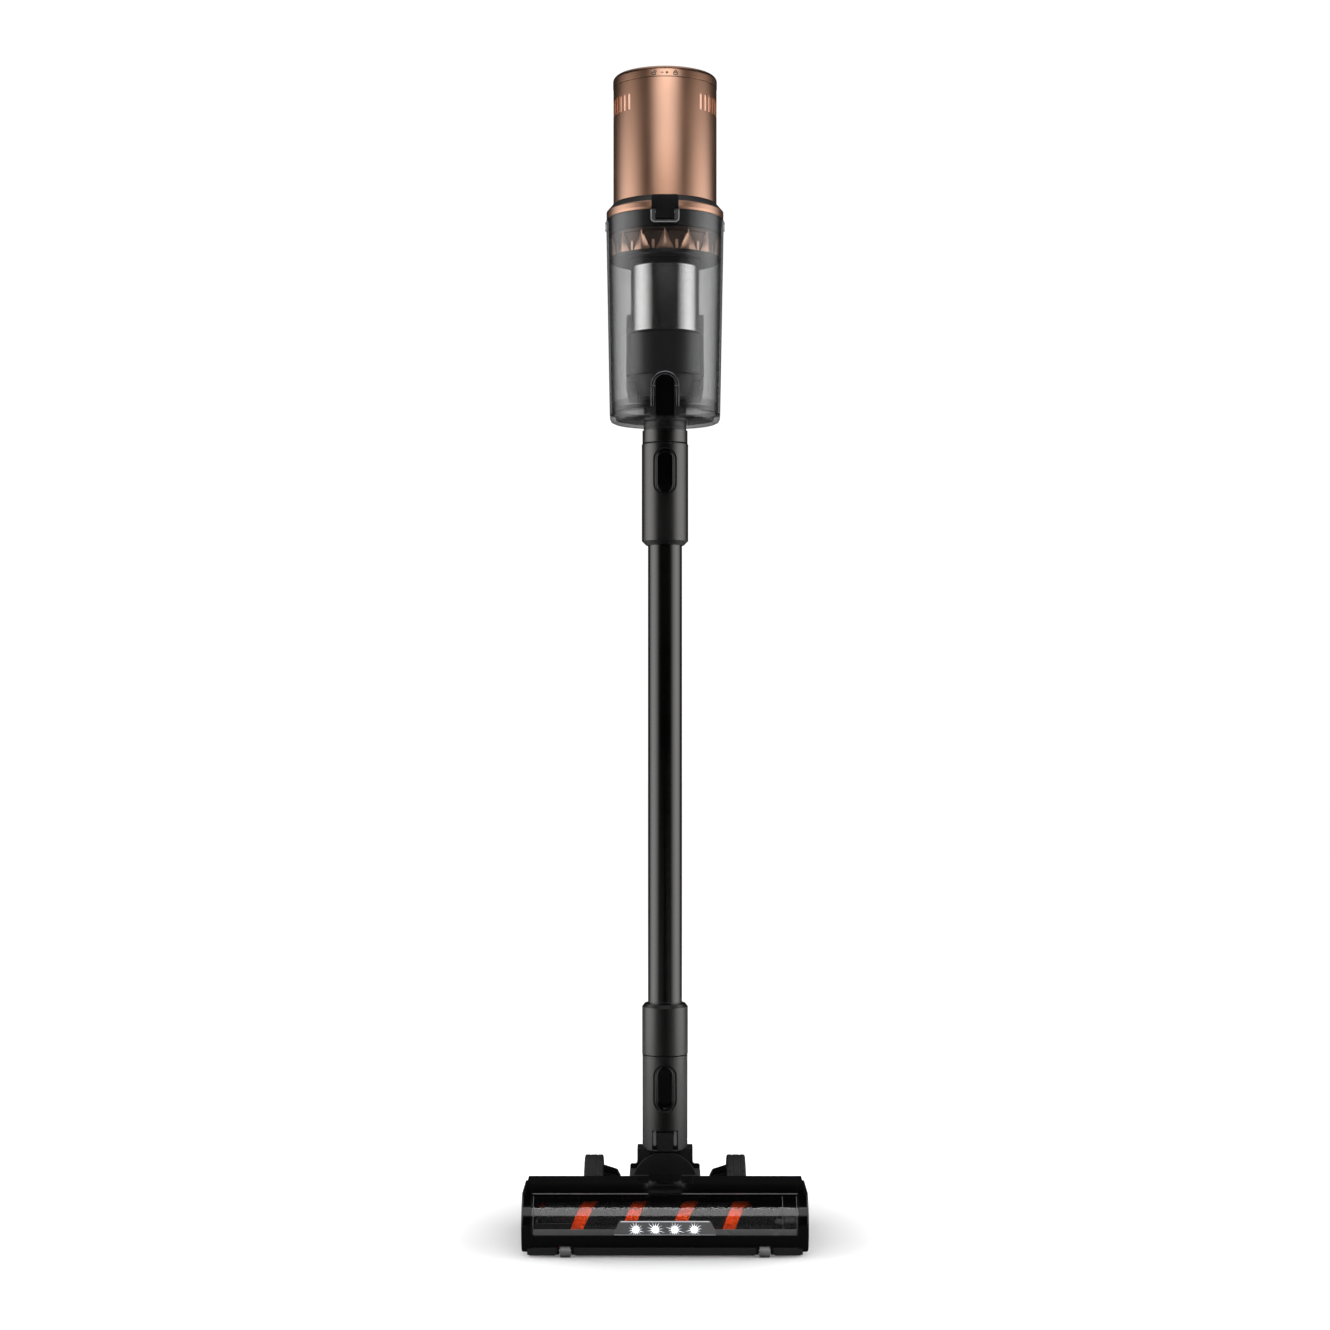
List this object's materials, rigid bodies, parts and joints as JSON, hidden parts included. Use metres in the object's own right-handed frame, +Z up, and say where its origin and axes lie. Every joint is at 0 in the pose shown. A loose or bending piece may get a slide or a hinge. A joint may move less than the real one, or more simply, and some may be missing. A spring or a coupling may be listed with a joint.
{
  "type": "cordless stick vacuum",
  "caption": "Upright cordless stick vacuum: motor and cyclone dust cup over a slim wand, tilting floor head with a lit, windowed brush roll, wheels, loop handle and battery.",
  "frame": {"origin": "on the floor, under the wand's centre line, which is the middle of the object's box", "axes": "+Z up along the wand, +X to the right seen from the front, the front faces -Y"},
  "size_m": [0.2566, 0.266, 1.062],
  "materials": {
    "gloss_black": "high gloss",
    "matte_black": "fine grain",
    "smoked_clear": "clear, smoked",
    "lamp_white": "lit lamp",
    "steel": "brushed",
    "graphite": "satin",
    "wand_black": "satin anodised",
    "bronze": "satin metallic paint",
    "dark_trim": "satin",
    "rubber_black": "matte",
    "bristle_dark": "dense bristle",
    "bristle_orange": "dense bristle",
    "filter_white": "pleated",
    "roller_grey": "semi clear",
    "shroud_grey": "satin",
    "cell_blue": "shrink film",
    "board_green": "solder mask",
    "motor_can": "turned",
    "motor_shell": "satin"
  },
  "bodies": {
    "floor_head": {"head_base": "matte_black", "head_top_cover": "gloss_black", "duct_cover": "matte_black", "brush_window": "smoked_clear", "end_cap_left": "gloss_black", "end_cap_right": "gloss_black", "front_bumper": "gloss_black", "led_housing": "smoked_clear", "led_lights": "lamp_white", "axles": "steel", "roller_motor": "motor_shell", "brush_bearings": "steel"},
    "brush_roll": {"brush_core": "dark_trim", "bristles_black": "bristle_dark", "bristles_orange": "bristle_orange"},
    "front_roller_left": {"front_roller_left": "roller_grey"},
    "front_roller_right": {"front_roller_right": "roller_grey"},
    "rear_wheel_left": {"rear_hub_left": "roller_grey", "rear_tyre_left": "rubber_black"},
    "rear_wheel_right": {"rear_hub_right": "roller_grey", "rear_tyre_right": "rubber_black"},
    "neck_pitch": {"neck_base": "matte_black", "swivel_pins": "steel"},
    "neck": {"neck_knuckle": "matte_black", "neck_tube": "graphite"},
    "neck_button": {"neck_button": "graphite"},
    "wand": {"wand_tube": "wand_black", "wand_lower_collar": "graphite", "wand_upper_collar": "graphite"},
    "wand_button": {"wand_button": "graphite"},
    "hand_unit": {"inlet_duct": "graphite", "cyclone_head": "matte_black", "clamp_ring": "bronze", "cyclone_crown": "bronze", "shroud_frame": "shroud_grey", "mesh_screen": "steel", "inner_cone": "shroud_grey", "motor_housing": "bronze", "pre_filter": "filter_white", "suction_motor": "motor_shell", "motor_mount": "rubber_black", "handle_left": "matte_black", "handle_right": "matte_black", "handle_screws": "steel", "main_pcb": "board_green"},
    "fan": {"fan_rotor": "motor_can"},
    "filter_cap": {"filter_cap": "bronze", "exhaust_filter": "filter_white"},
    "trigger": {"trigger": "matte_black"},
    "mode_button": {"mode_button": "dark_trim"},
    "battery": {"battery_case": "matte_black", "battery_cells": "cell_blue"},
    "battery_latch": {"battery_latch": "dark_trim"},
    "cup": {"dust_cup": "smoked_clear", "cup_latch_bracket": "matte_black", "latch_pins": "steel"},
    "cup_latch": {"cup_latch": "matte_black"},
    "lid": {"cup_lid": "smoked_clear", "lid_seal": "rubber_black"},
    "lid_latch": {"lid_latch": "matte_black"}
  },
  "joints": [
    {"name": "brush_spin", "type": "hinge", "parent": "floor_head", "child": "brush_roll", "pos_m": [0, -0.0845, 0.0225], "axis": [1, 0, 0], "continuous": true},
    {"name": "front_roller_left_spin", "type": "hinge", "parent": "floor_head", "child": "front_roller_left", "pos_m": [-0.089, -0.1095, 0.0055], "axis": [1, 0, 0], "continuous": true},
    {"name": "front_roller_right_spin", "type": "hinge", "parent": "floor_head", "child": "front_roller_right", "pos_m": [0.089, -0.1095, 0.0055], "axis": [1, 0, 0], "continuous": true},
    {"name": "rear_wheel_left_spin", "type": "hinge", "parent": "floor_head", "child": "rear_wheel_left", "pos_m": [-0.0666, 0, 0.0349], "axis": [1, 0, 0], "continuous": true},
    {"name": "rear_wheel_right_spin", "type": "hinge", "parent": "floor_head", "child": "rear_wheel_right", "pos_m": [0.0666, 0, 0.0349], "axis": [1, 0, 0], "continuous": true},
    {"name": "neck_pitch", "type": "hinge", "parent": "floor_head", "child": "neck_pitch", "pos_m": [0, 0, 0.0349], "axis": [-1, 0, 0], "range_deg": [0, 80]},
    {"name": "neck_swivel", "type": "hinge", "parent": "neck_pitch", "child": "neck", "pos_m": [0, 0, 0.045], "axis": [0, 1, 0], "range_deg": [-40, 40]},
    {"name": "neck_button_push", "type": "slide", "parent": "neck", "child": "neck_button", "axis": [0, 1, 0], "range_m": [0, 0.001], "stiffness_N_per_m": 800},
    {"name": "wand_release", "type": "slide", "parent": "neck", "child": "wand", "axis": [0, 0, 1], "range_m": [0, 0.044]},
    {"name": "wand_button_push", "type": "slide", "parent": "wand", "child": "wand_button", "axis": [0, 1, 0], "range_m": [0, 0.001], "stiffness_N_per_m": 800},
    {"name": "hand_unit_release", "type": "slide", "parent": "wand", "child": "hand_unit", "axis": [0, 0, 1], "range_m": [0, 0.044]},
    {"name": "fan_spin", "type": "hinge", "parent": "hand_unit", "child": "fan", "pos_m": [0, -0.0765, 0.98], "axis": [0, 0, 1], "continuous": true},
    {"name": "filter_cap_twist", "type": "hinge", "parent": "hand_unit", "child": "filter_cap", "pos_m": [0, -0.0765, 1.055], "axis": [0, 0, 1], "range_deg": [0, 35]},
    {"name": "trigger_pull", "type": "slide", "parent": "hand_unit", "child": "trigger", "axis": [0, 1, 0], "range_m": [0, 0.004], "stiffness_N_per_m": 600},
    {"name": "mode_button_push", "type": "slide", "parent": "hand_unit", "child": "mode_button", "axis": [0, 0, -1], "range_m": [0, 0.0012], "stiffness_N_per_m": 600},
    {"name": "battery_release", "type": "slide", "parent": "hand_unit", "child": "battery", "axis": [0, 0, 1], "range_m": [-0.07, 0]},
    {"name": "battery_latch_push", "type": "slide", "parent": "battery", "child": "battery_latch", "axis": [0, -1, 0], "range_m": [0, 0.0015], "stiffness_N_per_m": 800},
    {"name": "cup_release", "type": "slide", "parent": "hand_unit", "child": "cup", "axis": [0, 0, 1], "range_m": [-0.175, 0]},
    {"name": "cup_latch_rock", "type": "hinge", "parent": "cup", "child": "cup_latch", "pos_m": [0, -0.1316, 0.9295], "axis": [1, 0, 0], "range_deg": [0, 6], "stiffness_Nm_per_rad": 0.3},
    {"name": "lid_swing", "type": "hinge", "parent": "cup", "child": "lid", "pos_m": [0, -0.026, 0.7526], "axis": [1, 0, 0], "range_deg": [0, 85]},
    {"name": "lid_latch_tilt", "type": "hinge", "parent": "cup", "child": "lid_latch", "pos_m": [0, -0.1302, 0.7755], "axis": [-1, 0, 0], "range_deg": [0, 10], "stiffness_Nm_per_rad": 0.3}
  ]
}
